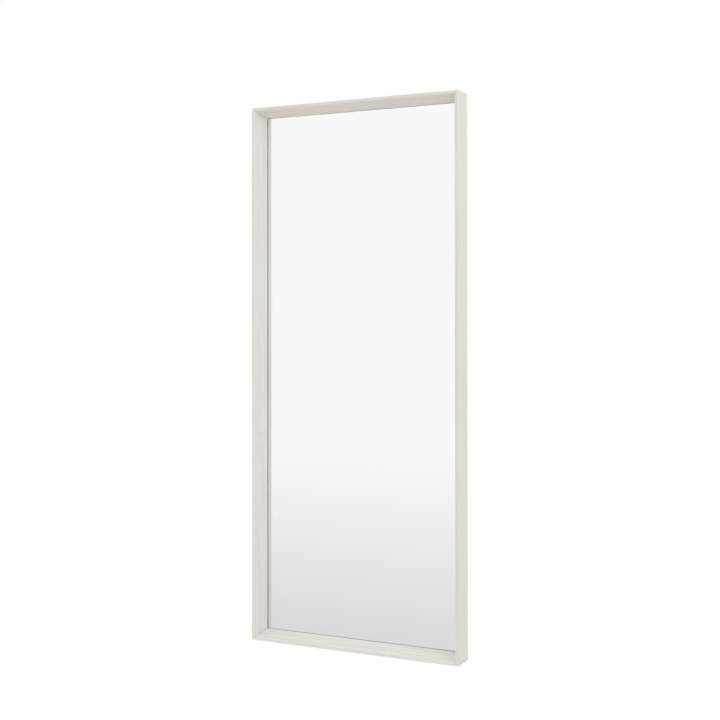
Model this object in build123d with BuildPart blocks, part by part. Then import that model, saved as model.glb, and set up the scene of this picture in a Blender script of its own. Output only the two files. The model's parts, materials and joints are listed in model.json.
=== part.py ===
from build123d import *
import os
from math import asin, degrees, radians, cos, sin, sqrt

# Full-length leaner mirror: a deep, mitred box frame of whitewashed oak round a silvered pane.
# Millimetres, +Z up. The origin is on the floor, at the middle of the width and of the depth.
# The mirror faces -Y and its back is towards +Y.
# "Inset" is measured inwards from the frame's outer faces, "depth" backwards from its front edge.

os.makedirs("parts", exist_ok=True)

# Frame, outside to outside
frame_height = 1829.0
frame_width = 762.0

# Moulding section
lip_width = 9.5
slant_width = 19.9
sight_depth = 53.5
sight_land = 2.0
glass_rebate_width = 7.4
panel_shelf_width = 10.0
lip_edge_radius = 0.8
sight_edge_radius = 0.5
rear_edge_radius = 1.0

# Pane, its backing and the gaps round them
glass_thickness = 5.0
glass_edge_gap = 2.0
glass_arris = 0.5
bond_gap = 0.02
silver_thickness = 0.15
film_thickness = 0.33
foam_thickness = 3.0
panel_thickness = 6.0
panel_edge_gap = 1.0

# Rubber blocks that centre the pane in its rebate
setting_block_length = 80.0
edge_spacer_length = 40.0

# Cross battens
batten_thickness = 12.0
batten_height = 60.0
batten_end_gap = 1.0
batten_corner_radius = 3.0
batten_recess = 3.0

# Biscuits glued across the mitres
biscuit_length = 47.0
biscuit_width = 15.0
biscuit_thickness = 4.0
biscuit_front_depth = 15.0
biscuit_corner_distance = 14.0
biscuit_gap = 0.1

# Steel braces in the corners of the rear recess
brace_leg = 40.0
brace_width = 12.0
brace_thickness = 2.0
brace_bend_radius = 1.5
brace_end_radius = 3.0
brace_hole_places = (14.0, 30.0)

# Screws
screw_gap = 0.05
screw_head_land = 0.3
screw_recess_width = 0.9
screw_recess_depth = 1.3
screw_recess_span = 3.8
pilot_extra_depth = 0.5
small_shank_radius = 1.75
small_head_radius = 3.5
pan_head_height = 2.4
brace_screw_length = 10.0
panel_screw_length = 20.0
hanger_screw_length = 11.0
batten_screw_length = 35.0
batten_shank_radius = 2.0
batten_head_radius = 4.0
panel_screw_end_inset = 70.0
panel_screw_pitch = 240.0
batten_screw_spread = 36.0

# D-ring hangers
strap_width = 12.0
strap_thickness = 1.2
strap_length = 45.0
strap_end_radius = 5.0
strap_inset = 18.0
strap_top_margin = 4.0
strap_hole_places = (24.0, 38.0)
ring_wire_radius = 1.5
ring_leg = 8.0
ring_side_gap = 0.75
ring_bore_gap = 0.05
ring_rest_gap = 0.3
knuckle_open_angle = 70.0
knuckle_end_gap = 0.15

# Rubber bumpers behind the frame and non-slip pads under it
bumper_radius = 4.5
bumper_thickness = 4.0
bumper_edge_radius = 1.5
bumper_edge_inset = 2.25
bumper_end_inset = 30.0
pad_length = 45.0
pad_width = 16.0
pad_thickness = 2.0
pad_corner_radius = 3.0
pad_end_inset = 28.0
pad_front_inset = 8.0
pad_rear_inset = 3.0

# Insets of the steps in the section
moulding_width = lip_width + slant_width
glass_rebate_inset = moulding_width - glass_rebate_width
wall_width = glass_rebate_inset - panel_shelf_width

# Depths of the layers, from the front edge to the wall
glass_front_depth = sight_depth + sight_land
silver_depth = glass_front_depth + glass_thickness + bond_gap
film_depth = silver_depth + silver_thickness
foam_depth = film_depth + film_thickness
panel_depth = foam_depth + foam_thickness
batten_depth = panel_depth + panel_thickness
strap_depth = batten_depth + batten_thickness
frame_depth = strap_depth + batten_recess
overall_depth = frame_depth + bumper_thickness

# Places of the outer faces
half_width = frame_width / 2
front_y = -overall_depth / 2
frame_bottom = pad_thickness
frame_top = frame_bottom + frame_height
frame_middle = (frame_bottom + frame_top) / 2

# Sides of the object: -1 is left or bottom, +1 is right or top
sides = {"left": -1, "right": 1}
ends = {"bottom": -1, "top": 1}


def y_at(depth):
    """The Y of a depth behind the front edge."""
    return front_y + depth


def save(piece, name):
    """Labels a finished piece and writes it to its own file."""
    piece.label = name
    export_step(piece, f"parts/{name}.step")


def even_places(length, end_inset, pitch):
    """Places along a length, evenly spaced near the pitch, from one end inset to the other."""
    gaps = round((length - 2 * end_inset) / pitch)
    step = (length - 2 * end_inset) / gaps
    return [end_inset + step * index for index in range(gaps + 1)]


# Each member has a plane on its outer front edge: x runs inwards, y backwards, z along the member
member_planes = {
    "left_stile": Plane((-half_width, front_y, frame_bottom), x_dir=(1, 0, 0), z_dir=(0, 0, 1)),
    "right_stile": Plane((half_width, front_y, frame_top), x_dir=(-1, 0, 0), z_dir=(0, 0, -1)),
    "top_rail": Plane((-half_width, front_y, frame_top), x_dir=(0, 0, -1), z_dir=(1, 0, 0)),
    "bottom_rail": Plane((half_width, front_y, frame_bottom), x_dir=(0, 0, 1), z_dir=(-1, 0, 0)),
}
member_lengths = {
    "left_stile": frame_height,
    "right_stile": frame_height,
    "top_rail": frame_width,
    "bottom_rail": frame_width,
}

# Panel screws stand in the middle of the panel's shelf, the battens between two of them
shelf_middle_inset = wall_width + panel_shelf_width / 2
stile_screw_places = even_places(frame_height, panel_screw_end_inset, panel_screw_pitch)
batten_heights = {
    "lower": frame_bottom + (stile_screw_places[1] + stile_screw_places[2]) / 2,
    "upper": frame_bottom + (stile_screw_places[-3] + stile_screw_places[-2]) / 2,
}


def rear_facing(points):
    """Planes at the given points, each facing the back of the object."""
    return [Plane(point, x_dir=(1, 0, 0), z_dir=(0, 1, 0)) for point in points]


def panel_screw_seats(name):
    """Planes on the panel's shelf in one member, where its panel screws go in."""
    plane = member_planes[name]
    places = even_places(member_lengths[name], panel_screw_end_inset, panel_screw_pitch)
    return rear_facing([plane.from_local_coords((shelf_middle_inset, panel_depth, z)) for z in places])


def batten_screw_points(depth):
    """The points of the batten screws at a depth, two at each end of each batten."""
    return [
        (side * (half_width - shelf_middle_inset), y_at(depth), height + end * batten_screw_spread / 2)
        for height in batten_heights.values()
        for side in sides.values()
        for end in ends.values()
    ]


def corner_plane(side, end, inset, depth):
    """A plane in a frame corner: x runs in from the stile and y in from the rail."""
    origin = (
        side * (half_width - inset),
        y_at(depth),
        frame_middle + end * (frame_height / 2 - inset),
    )
    return Plane(origin, x_dir=(-side, 0, 0), z_dir=(0, -side * end, 0))


def biscuit_plane(side, end):
    """The middle plane of a corner's biscuit: x runs backwards and y across the mitre."""
    inset = biscuit_corner_distance / sqrt(2)
    middle = corner_plane(side, end, inset, biscuit_front_depth + biscuit_length / 2)
    return Plane(middle.origin, x_dir=(0, 1, 0), z_dir=(-side, 0, -end))


def brace_seats(side, end, height):
    """Planes at a brace's holes, facing inwards, at a height above the stile's and the rail's wall."""
    corner = corner_plane(side, end, wall_width, (batten_depth + frame_depth) / 2)
    on_stile = [corner.from_local_coords((height, place, 0)) for place in brace_hole_places]
    on_rail = [corner.from_local_coords((place, height, 0)) for place in brace_hole_places]
    return {
        "stile": [Plane(point, x_dir=(0, 1, 0), z_dir=(-side, 0, 0)) for point in on_stile],
        "rail": [Plane(point, x_dir=(0, 1, 0), z_dir=(0, 0, -end)) for point in on_rail],
    }


# Screws, each made once with the underside or rim of its head at the origin
def make_screw(length, shank_radius, head_radius, pan_height=0.0):
    """A cross-head wood screw pointing down, countersunk unless it has a pan height."""
    sunk_depth = head_radius - shank_radius + screw_head_land
    with BuildPart() as screw:
        with BuildSketch(Plane.XZ) as half_section:
            with BuildLine():
                if pan_height:
                    under_head = [(head_radius, pan_height), (head_radius, 0), (shank_radius, 0)]
                else:
                    under_head = [(head_radius, 0), (head_radius, -screw_head_land)]
                    under_head += [(shank_radius, -sunk_depth)]
                shank = [(shank_radius, 2 * shank_radius - length), (0, -length)]
                Polyline((0, pan_height), *under_head, *shank, close=True)
            make_face()
            if pan_height:
                rim = half_section.vertices().sort_by_distance((head_radius, pan_height))[0]
                fillet(rim, pan_height / 2)
        revolve(axis=Axis.Z)
        with Locations((0, 0, pan_height)):
            for turn in (0, 90):
                Box(
                    screw_recess_span,
                    screw_recess_width,
                    2 * screw_recess_depth,
                    rotation=(0, 0, turn),
                    mode=Mode.SUBTRACT,
                )
    return screw.part


def save_screws(screw, seats, name):
    """Writes one node that holds a screw at every seat."""
    with BuildPart() as screws:
        with Locations(*seats):
            add(screw)
    save(screws.part, name)


# Moulding section, on a plane whose x is the inset and whose y is the depth
with BuildSketch() as moulding:
    with BuildLine():
        Polyline(
            (0, 0),
            (lip_width, 0),
            (moulding_width, sight_depth),
            (moulding_width, glass_front_depth),
            (glass_rebate_inset, glass_front_depth),
            (glass_rebate_inset, panel_depth),
            (wall_width, panel_depth),
            (wall_width, frame_depth),
            (0, frame_depth),
            close=True,
        )
    make_face()
    for corner, radius in (
        ((0, 0), lip_edge_radius),
        ((lip_width, 0), lip_edge_radius),
        ((moulding_width, sight_depth), sight_edge_radius),
        ((wall_width, frame_depth), rear_edge_radius),
        ((0, frame_depth), rear_edge_radius),
    ):
        fillet(moulding.vertices().sort_by_distance(corner)[0], radius)

# Biscuits: flat lenses of pressed beech, half in each member
for end_name, end in ends.items():
    for side_name, side in sides.items():
        with BuildPart() as biscuit:
            with BuildSketch(biscuit_plane(side, end)):
                with BuildLine():
                    for bulge in (biscuit_width / 2, -biscuit_width / 2):
                        ThreePointArc((-biscuit_length / 2, 0), (0, bulge), (biscuit_length / 2, 0))
                make_face()
            extrude(amount=biscuit_thickness / 2, both=True)
        save(biscuit.part, f"corner_biscuit_{end_name}_{side_name}")

# The slot that a biscuit is glued into, a little larger all round
with BuildPart() as biscuit_slot:
    slot_length = biscuit_length + 2 * biscuit_gap
    slot_width = biscuit_width + 2 * biscuit_gap
    with BuildSketch():
        with BuildLine():
            for bulge in (slot_width / 2, -slot_width / 2):
                ThreePointArc((-slot_length / 2, 0), (0, bulge), (slot_length / 2, 0))
        make_face()
    extrude(amount=biscuit_thickness / 2 + biscuit_gap, both=True)

# Stiles and rails: one moulding, cut to four lengths and mitred
brace_pilot_depth = brace_screw_length - brace_thickness + pilot_extra_depth
panel_pilot_depth = panel_screw_length - panel_thickness + pilot_extra_depth
batten_pilot_depth = batten_screw_length - batten_thickness - panel_thickness + pilot_extra_depth
corner_ends = {
    "left_stile": [(-1, -1), (-1, 1)],
    "right_stile": [(1, -1), (1, 1)],
    "top_rail": [(-1, 1), (1, 1)],
    "bottom_rail": [(-1, -1), (1, -1)],
}
for name, plane in member_planes.items():
    length = member_lengths[name]
    with BuildPart() as member:
        with BuildSketch(plane):
            add(moulding.sketch)
        extrude(amount=length)
        start_normal = plane.z_dir - plane.x_dir
        split(bisect_by=Plane(plane.origin, z_dir=start_normal), keep=Keep.TOP)
        end_normal = -plane.z_dir - plane.x_dir
        split(bisect_by=Plane(plane.from_local_coords((0, 0, length)), z_dir=end_normal), keep=Keep.TOP)
        for side, end in corner_ends[name]:
            with Locations(biscuit_plane(side, end)):
                add(biscuit_slot.part, mode=Mode.SUBTRACT)
            with Locations(*brace_seats(side, end, 0)["stile" if "stile" in name else "rail"]):
                Hole(small_shank_radius + screw_gap, brace_pilot_depth)
        with Locations(*panel_screw_seats(name)):
            Hole(small_shank_radius + screw_gap, panel_pilot_depth)
        if "stile" in name:
            stile_side = 1 if name == "right_stile" else -1
            points = [point for point in batten_screw_points(panel_depth) if point[0] * stile_side > 0]
            with Locations(*rear_facing(points)):
                Hole(batten_shank_radius + screw_gap, batten_pilot_depth)
    save(member.part, name)

# Braces: bent steel strips, countersunk for two screws in each leg
all_brace_seats = []
for end_name, end in ends.items():
    for side_name, side in sides.items():
        brace_plane = corner_plane(side, end, wall_width, (batten_depth + frame_depth) / 2)
        with BuildPart() as brace:
            with BuildSketch(brace_plane) as brace_outline:
                with BuildLine():
                    Polyline(
                        (0, 0),
                        (brace_leg, 0),
                        (brace_leg, brace_thickness),
                        (brace_thickness, brace_thickness),
                        (brace_thickness, brace_leg),
                        (0, brace_leg),
                        close=True,
                    )
                make_face()
                inner = brace_outline.vertices().sort_by_distance((brace_thickness, brace_thickness))[0]
                fillet(inner, brace_bend_radius)
                outer = brace_outline.vertices().sort_by_distance((0, 0))[0]
                fillet(outer, brace_bend_radius + brace_thickness)
            extrude(amount=brace_width / 2, both=True)
            rail_leg_end = brace.faces().sort_by(Axis.X)[0 if side > 0 else -1]
            stile_leg_end = brace.faces().sort_by(Axis.Z)[0 if end > 0 else -1]
            end_corners = rail_leg_end.edges().filter_by(Axis.Z)
            end_corners += stile_leg_end.edges().filter_by(Axis.X)
            fillet(end_corners, brace_end_radius)
            seats = brace_seats(side, end, brace_thickness)
            all_brace_seats += seats["stile"] + seats["rail"]
            with Locations(*seats["stile"], *seats["rail"]):
                CounterSinkHole(
                    small_shank_radius + screw_gap,
                    small_head_radius + screw_head_land + screw_gap,
                    depth=2 * brace_thickness,
                    counter_sink_angle=90,
                )
        save(brace.part, f"corner_brace_{end_name}_{side_name}")

brace_screw = make_screw(brace_screw_length, small_shank_radius, small_head_radius)
save_screws(brace_screw, all_brace_seats, "brace_screws")


def sheet(inset, depth, thickness):
    """A sheet of the frame's proportions, inset from the outer faces, between two depths."""
    with BuildPart() as layer:
        with BuildSketch(Plane((0, y_at(depth), frame_middle), x_dir=(-1, 0, 0), z_dir=(0, 1, 0))):
            Rectangle(frame_width - 2 * inset, frame_height - 2 * inset)
        extrude(amount=thickness)
    return layer.part


# Pane, with its arrissed edges, and the coats on its back
pane_inset = glass_rebate_inset + glass_edge_gap
with BuildPart() as glass:
    add(sheet(pane_inset, glass_front_depth, glass_thickness))
    chamfer(glass.edges(), glass_arris)
save(glass.part, "mirror_glass")

coat_inset = pane_inset + glass_arris
save(sheet(coat_inset, silver_depth, silver_thickness), "silver_coating")
save(sheet(coat_inset, film_depth, film_thickness), "safety_film")
save(sheet(pane_inset, foam_depth, foam_thickness), "foam_sheet")

# Setting blocks under the pane, at its quarter points
for side_name, side in sides.items():
    block_plane = Plane((side * (half_width - pane_inset) / 2, y_at(glass_front_depth), frame_bottom))
    with BuildPart() as block:
        with BuildSketch(block_plane.offset(glass_rebate_inset)):
            Rectangle(setting_block_length, glass_thickness, align=(Align.CENTER, Align.MIN))
        extrude(amount=glass_edge_gap)
    save(block.part, f"setting_block_{side_name}")

# Spacers above the pane, over the setting blocks
for side_name, side in sides.items():
    top_plane = Plane((side * (half_width - pane_inset) / 2, y_at(glass_front_depth), frame_top))
    with BuildPart() as spacer:
        with BuildSketch(top_plane.offset(-glass_rebate_inset)):
            Rectangle(edge_spacer_length, glass_thickness, align=(Align.CENTER, Align.MIN))
        extrude(amount=-glass_edge_gap)
    save(spacer.part, f"top_spacer_{side_name}")

# Spacers at the sides of the pane, level with the battens
for level, height in batten_heights.items():
    for side_name, side in sides.items():
        gap_middle = side * (half_width - glass_rebate_inset - glass_edge_gap / 2)
        with BuildPart() as spacer:
            with BuildSketch(Plane((gap_middle, y_at(glass_front_depth), height))):
                Rectangle(glass_edge_gap, glass_thickness, align=(Align.CENTER, Align.MIN))
            extrude(amount=edge_spacer_length / 2, both=True)
        save(spacer.part, f"edge_spacer_{level}_{side_name}")

# Back panel, drilled for its own screws and for those of the battens
panel_seats = []
for name in member_planes:
    panel_seats += panel_screw_seats(name)
with BuildPart() as back_panel:
    add(sheet(wall_width + panel_edge_gap, panel_depth, panel_thickness))
    with Locations(*panel_seats):
        Hole(small_shank_radius + screw_gap, 2 * panel_thickness)
    with Locations(*rear_facing(batten_screw_points(panel_depth))):
        Hole(batten_shank_radius + screw_gap, 2 * panel_thickness)
save(back_panel.part, "back_panel")

panel_screw = make_screw(panel_screw_length, small_shank_radius, small_head_radius, pan_head_height)
save_screws(panel_screw, [seat.offset(panel_thickness) for seat in panel_seats], "panel_screws")

# Hangers: their straps lie on the upper batten, near its ends
hanger_xs = {name: side * (half_width - wall_width - strap_inset) for name, side in sides.items()}
knuckle_bore = ring_wire_radius + ring_bore_gap
knuckle_radius = knuckle_bore + strap_thickness
pivot_y = y_at(strap_depth + knuckle_radius)
pivot_z = batten_heights["upper"] + batten_height / 2 - strap_top_margin - knuckle_radius
hanger_screw_points = [
    (x, y_at(strap_depth), pivot_z - place) for x in hanger_xs.values() for place in strap_hole_places
]

# Battens, countersunk at their ends. The upper one is drilled for the hangers
batten_length = frame_width - 2 * (wall_width + batten_end_gap)
for level, height in batten_heights.items():
    with BuildPart() as batten:
        with BuildSketch(Plane((0, y_at(batten_depth), height), x_dir=(-1, 0, 0), z_dir=(0, 1, 0))):
            RectangleRounded(batten_length, batten_height, batten_corner_radius)
        extrude(amount=batten_thickness)
        points = [p for p in batten_screw_points(strap_depth) if abs(p[2] - height) < batten_height]
        with Locations(*rear_facing(points)):
            CounterSinkHole(
                batten_shank_radius + screw_gap,
                batten_head_radius + screw_head_land + screw_gap,
                depth=2 * batten_thickness,
                counter_sink_angle=90,
            )
        if level == "upper":
            with Locations(*rear_facing(hanger_screw_points)):
                Hole(small_shank_radius + screw_gap, hanger_screw_length - strap_thickness + pilot_extra_depth)
    save(batten.part, f"{level}_batten")

batten_screw = make_screw(batten_screw_length, batten_shank_radius, batten_head_radius)
save_screws(batten_screw, rear_facing(batten_screw_points(strap_depth)), "batten_screws")

# Straps: steel strip lying on the batten, curled round the straight side of the ring
for side_name, hanger_x in hanger_xs.items():
    strap_plane = Plane((hanger_x, pivot_y, pivot_z), x_dir=(0, 1, 0), z_dir=(1, 0, 0))
    with BuildPart() as strap:
        with BuildSketch(strap_plane):
            Circle(knuckle_radius)
            Circle(knuckle_bore, mode=Mode.SUBTRACT)
            with BuildLine():
                reach = 2 * knuckle_radius
                opening = radians(knuckle_open_angle)
                mouth = (reach * cos(opening), -reach * sin(opening))
                Polyline((0, 0), (-reach, 0), (-reach, -reach), (0, -reach), mouth, close=True)
            make_face(mode=Mode.SUBTRACT)
            with Locations((-knuckle_radius, 0)):
                Rectangle(strap_thickness, strap_length, align=(Align.MIN, Align.MAX))
        extrude(amount=strap_width / 2, both=True)
        lower_end = strap.faces().filter_by(Axis.Z).sort_by(Axis.Z)[0]
        fillet(lower_end.edges().filter_by(Axis.Y), strap_end_radius)
        holes = [point for point in hanger_screw_points if point[0] == hanger_x]
        with Locations(*rear_facing(holes)):
            Hole(small_shank_radius + screw_gap, 2 * strap_thickness)
    save(strap.part, f"hanger_plate_{side_name}")

strap_seats = [seat.offset(strap_thickness) for seat in rear_facing(hanger_screw_points)]
hanger_screw = make_screw(hanger_screw_length, small_shank_radius, small_head_radius, pan_head_height)
save_screws(hanger_screw, strap_seats, "hanger_screws")

# Rings: round wire bent to a D, hanging from the knuckle and lying against the strap
ring_half_width = strap_width / 2 + ring_side_gap + ring_wire_radius
ring_corner_radius = ring_side_gap + ring_wire_radius - knuckle_end_gap
ring_drop = ring_leg + ring_half_width
ring_rest_tilt = asin((ring_rest_gap - ring_bore_gap) / ring_drop)
for side_name, hanger_x in hanger_xs.items():
    ring_plane = Plane(
        (hanger_x, pivot_y, pivot_z),
        x_dir=(1, 0, 0),
        z_dir=(0, -cos(ring_rest_tilt), -sin(ring_rest_tilt)),
    )
    with BuildPart() as ring:
        with BuildLine(ring_plane) as bend:
            bar_end = ring_half_width - ring_corner_radius
            Line((0, 0), (bar_end, 0))
            CenterArc((bar_end, -ring_corner_radius), ring_corner_radius, 90, -90)
            Line((ring_half_width, -ring_corner_radius), (ring_half_width, -ring_leg))
            CenterArc((0, -ring_leg), ring_half_width, 0, -180)
            Line((-ring_half_width, -ring_leg), (-ring_half_width, -ring_corner_radius))
            CenterArc((-bar_end, -ring_corner_radius), ring_corner_radius, 180, -90)
            Line((-bar_end, 0), (0, 0))
        with BuildSketch(Plane((hanger_x, pivot_y, pivot_z), z_dir=(1, 0, 0))):
            Circle(ring_wire_radius)
        sweep(path=bend.wire())
    save(ring.part, f"hanger_ring_{side_name}")

# Bumpers that touch the wall, near the corners of the frame's rear face
for end_name, end in ends.items():
    for side_name, side in sides.items():
        bumper_x = side * (half_width - bumper_edge_inset - bumper_radius)
        bumper_z = frame_middle + end * (frame_height / 2 - bumper_end_inset)
        with BuildPart() as bumper:
            with BuildSketch(Plane((bumper_x, y_at(frame_depth), bumper_z), z_dir=(0, 1, 0))):
                Circle(bumper_radius)
            extrude(amount=bumper_thickness)
            fillet(bumper.faces().sort_by(Axis.Y)[-1].edges(), bumper_edge_radius)
        save(bumper.part, f"wall_bumper_{end_name}_{side_name}")

# Pads that stand on the floor, under the ends of the bottom rail
pad_depths = {
    "front": pad_front_inset + pad_width / 2,
    "rear": frame_depth - pad_rear_inset - pad_width / 2,
}
for row, depth in pad_depths.items():
    for side_name, side in sides.items():
        pad_x = side * (half_width - pad_end_inset - pad_length / 2)
        with BuildPart() as pad:
            with BuildSketch(Plane((pad_x, y_at(depth), 0))):
                RectangleRounded(pad_length, pad_width, pad_corner_radius)
            extrude(amount=pad_thickness)
        save(pad.part, f"floor_pad_{row}_{side_name}")

# Sizes that follow from the ones above
print("frame depth", round(frame_depth, 2), "overall depth", round(overall_depth, 2))
print("rear wall width", round(wall_width, 2), "pane inset", round(pane_inset, 2))
print("batten heights", {level: round(height, 2) for level, height in batten_heights.items()})
print("ring pivot", round(pivot_y, 3), round(pivot_z, 3), "tilt", round(degrees(ring_rest_tilt), 2))
print("ring wire length", round(bend.wire().length, 2), "ring volume", round(ring.part.volume, 2))
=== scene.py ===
# %% [markdown]
# # A leaner mirror in whitewashed oak
#
# A leaner mirror stands on the floor and rests against a wall. This one is a deep box frame of whitewashed
# oak, mitred at its corners, round a silvered pane that lies 55 mm behind the frame's front edge.
# Every solid piece is already made at its real size, so this lesson is about how each one looks: the open
# grain of the oak, the silver behind clear glass, and the panel, battens, braces and hangers on the back.
# Nothing here is an image. Every finish is worked out from the place of a point on the piece.

# %% Load the mirror's pieces
import json
import math

import bpy
from mathutils import Matrix, Vector


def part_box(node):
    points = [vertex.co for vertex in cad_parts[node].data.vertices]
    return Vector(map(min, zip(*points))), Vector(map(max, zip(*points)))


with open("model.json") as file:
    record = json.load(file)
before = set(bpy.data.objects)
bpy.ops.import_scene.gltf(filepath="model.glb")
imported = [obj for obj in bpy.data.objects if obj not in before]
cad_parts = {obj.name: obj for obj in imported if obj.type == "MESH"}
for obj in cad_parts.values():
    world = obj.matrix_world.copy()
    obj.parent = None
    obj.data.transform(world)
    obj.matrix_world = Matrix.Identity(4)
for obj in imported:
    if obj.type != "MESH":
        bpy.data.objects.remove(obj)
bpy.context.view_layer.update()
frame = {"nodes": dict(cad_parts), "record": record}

# %% [markdown]
# ## Measures
#
# The pieces are in metres, but a joiner thinks in millimetres, so the finishes are written in them.
# The outside of the oak frame is measured from its left stile, which is as tall as the frame, and later tells
# where the mitres are.

# %% Measure the frame
millimetre = 0.001
stile_low, stile_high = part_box("left_stile")
frame_half_width = -stile_low.x
frame_half_height = (stile_high.z - stile_low.z) / 2
frame_middle_height = (stile_high.z + stile_low.z) / 2
frame_front = stile_low.y
print("frame", round(2 * frame_half_width, 4), "by", round(2 * frame_half_height, 4), "metres")

# %% [markdown]
# ## Small helpers for shader nodes
#
# A finish is a tree of nodes. Written out in full, each node takes several lines, so a few helpers keep the
# recipes short. One adds any node, and one joins what feeds it. The others do sums on numbers and vectors,
# ease a value between two limits and mix colours.

# %% Add a node and join what feeds it
def feed(tree, node, inputs):
    """Sets a node's inputs. A value is a number or colour, or another node's output to join to it."""
    for name, value in inputs.items():
        if isinstance(value, bpy.types.NodeSocket):
            tree.links.new(value, node.inputs[name])
        else:
            node.inputs[name].default_value = value


def add_node(tree, kind, inputs=None, **settings):
    """Adds one node to a tree, with its settings and its inputs."""
    node = tree.nodes.new(kind)
    for name, value in settings.items():
        setattr(node, name, value)
    feed(tree, node, inputs or {})
    return node

# %% Sums, eased limits and mixed colours
def calculate(tree, operation, *values, clamp=False):
    """The result of one sum, such as ADD or MULTIPLY, on numbers or other outputs."""
    inputs = dict(enumerate(values))
    return add_node(tree, "ShaderNodeMath", inputs, operation=operation, use_clamp=clamp).outputs[0]


def ease(tree, value, start, end, low=0.0, high=1.0):
    """Goes smoothly from low to high while the value goes from start to end, and stays there."""
    limits = {"Value": value, "From Min": start, "From Max": end, "To Min": low, "To Max": high}
    return add_node(tree, "ShaderNodeMapRange", limits, interpolation_type="SMOOTHSTEP").outputs["Result"]


def mix_colors(tree, share, first, second, mode="MIX"):
    """The first colour, with a share of the second mixed in."""
    inputs = {0: share, 6: first, 7: second}
    return add_node(tree, "ShaderNodeMix", inputs, data_type="RGBA", blend_type=mode).outputs[2]


def vector_math(tree, operation, first, second):
    """The node of one sum on two vectors."""
    return add_node(tree, "ShaderNodeVectorMath", {0: first, 1: second}, operation=operation)

# %% [markdown]
# ## Groups for effects that several finishes share
#
# Oak, pine and beech all have growth rings, and oak, pine and plated steel all wear at their edges. Such an
# effect is made once, as a node group with named inputs and outputs, and each finish then gives it its own
# values. A group only puts out masks and values. The shader that uses them stays in the material.

# %% Start a group
def start_group(name, inputs, outputs):
    """An empty group: its tree, what comes in and what goes out. A float gives a value, a tuple a vector."""
    tree = bpy.data.node_groups.new(name, "ShaderNodeTree")
    for label, default in inputs.items():
        kind = "NodeSocketFloat" if isinstance(default, float) else "NodeSocketVector"
        tree.interface.new_socket(label, in_out="INPUT", socket_type=kind).default_value = default
    for label in outputs:
        tree.interface.new_socket(label, in_out="OUTPUT", socket_type="NodeSocketFloat")
    return tree, tree.nodes.new("NodeGroupInput").outputs, tree.nodes.new("NodeGroupOutput")


def use_group(tree, group, inputs):
    """Places a group in a material, with this material's values, and returns its outputs."""
    return add_node(tree, "ShaderNodeGroup", inputs, node_tree=group).outputs

# %% [markdown]
# ### Growth rings
#
# A tree's rings are shells round its pith, and a board shows them as lines because it is a slice through
# the shells. So the rings are made the same way: the distance of a point from a pith line along the grain is
# bent a little by slow noise and cut into steps of one ring. Each ring starts pale and ends in a darker band
# of late wood. Lines drawn on each face would be simpler, but they wouldn't meet at the edges of the board.

# %% Shape of a growth ring
drift_scale = 14.0
drift_along_grain = 0.12
uneven_scale = 0.35
uneven_rings = 2.5
late_wood_starts = 0.35
late_wood_full = 0.88
late_wood_fades = 0.94
print("late wood from", late_wood_starts, "of a ring to its end")

# %% Make the growth rings
def make_growth_rings():
    """Rings round a pith that runs along the vector's Z. Ring Width and Drift are in metres."""
    tree, given, result = start_group(
        "growth_rings",
        {
            "Vector": (0.0, 0.0, 0.0),
            "Pith": (0.0, 0.0, 0.0),
            "Ring Width": 2 * millimetre,
            "Drift": 3 * millimetre,
            "Bend": 0.0,
        },
        ("Late Wood", "Ring Tone"),
    )
    slow = vector_math(tree, "MULTIPLY", given["Vector"], (1.0, 1.0, drift_along_grain)).outputs[0]
    wander = add_node(tree, "ShaderNodeTexNoise", {"Vector": slow, "Scale": drift_scale, "Detail": 2.0})
    flat = vector_math(tree, "MULTIPLY", given["Vector"], (1.0, 1.0, 0.0)).outputs[0]
    from_pith = vector_math(tree, "DISTANCE", flat, given["Pith"]).outputs["Value"]
    shift = calculate(tree, "SUBTRACT", wander.outputs["Fac"], 0.5)
    shift = calculate(tree, "MULTIPLY", shift, given["Drift"])
    radius = calculate(tree, "ADD", from_pith, shift)
    radius = calculate(tree, "ADD", radius, given["Bend"])
    rings = calculate(tree, "DIVIDE", radius, given["Ring Width"])
    uneven = add_node(tree, "ShaderNodeTexNoise", {
        "W": rings,
        "Scale": uneven_scale,
    }, noise_dimensions="1D").outputs["Fac"]
    rings = calculate(tree, "ADD", rings, calculate(tree, "MULTIPLY", uneven, uneven_rings))
    through = calculate(tree, "FRACT", rings)
    rise = ease(tree, through, late_wood_starts, late_wood_full)
    fall = ease(tree, through, 1.0, late_wood_fades)
    late = calculate(tree, "MULTIPLY", rise, fall)
    number = calculate(tree, "FLOOR", rings)
    tone = add_node(tree, "ShaderNodeTexWhiteNoise", {"W": number}, noise_dimensions="1D")
    feed(tree, result, {"Late Wood": late, "Ring Tone": tone.outputs["Value"]})
    return tree


growth_rings = make_growth_rings()
print("made the group", growth_rings.name)

# %% [markdown]
# ### Pores and fibres
#
# Oak has open pores: fine dashes along the grain, a fraction of a millimetre wide and a few millimetres
# long. Cells that are stretched along the grain give them, each cell with one dash at its heart. The same
# stretching turns plain noise into fibres, which every planed wood has, and into the fine lines of rolled
# metal.

# %% Make the pores
dash_rim = 0.34
dash_heart = 0.16


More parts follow.
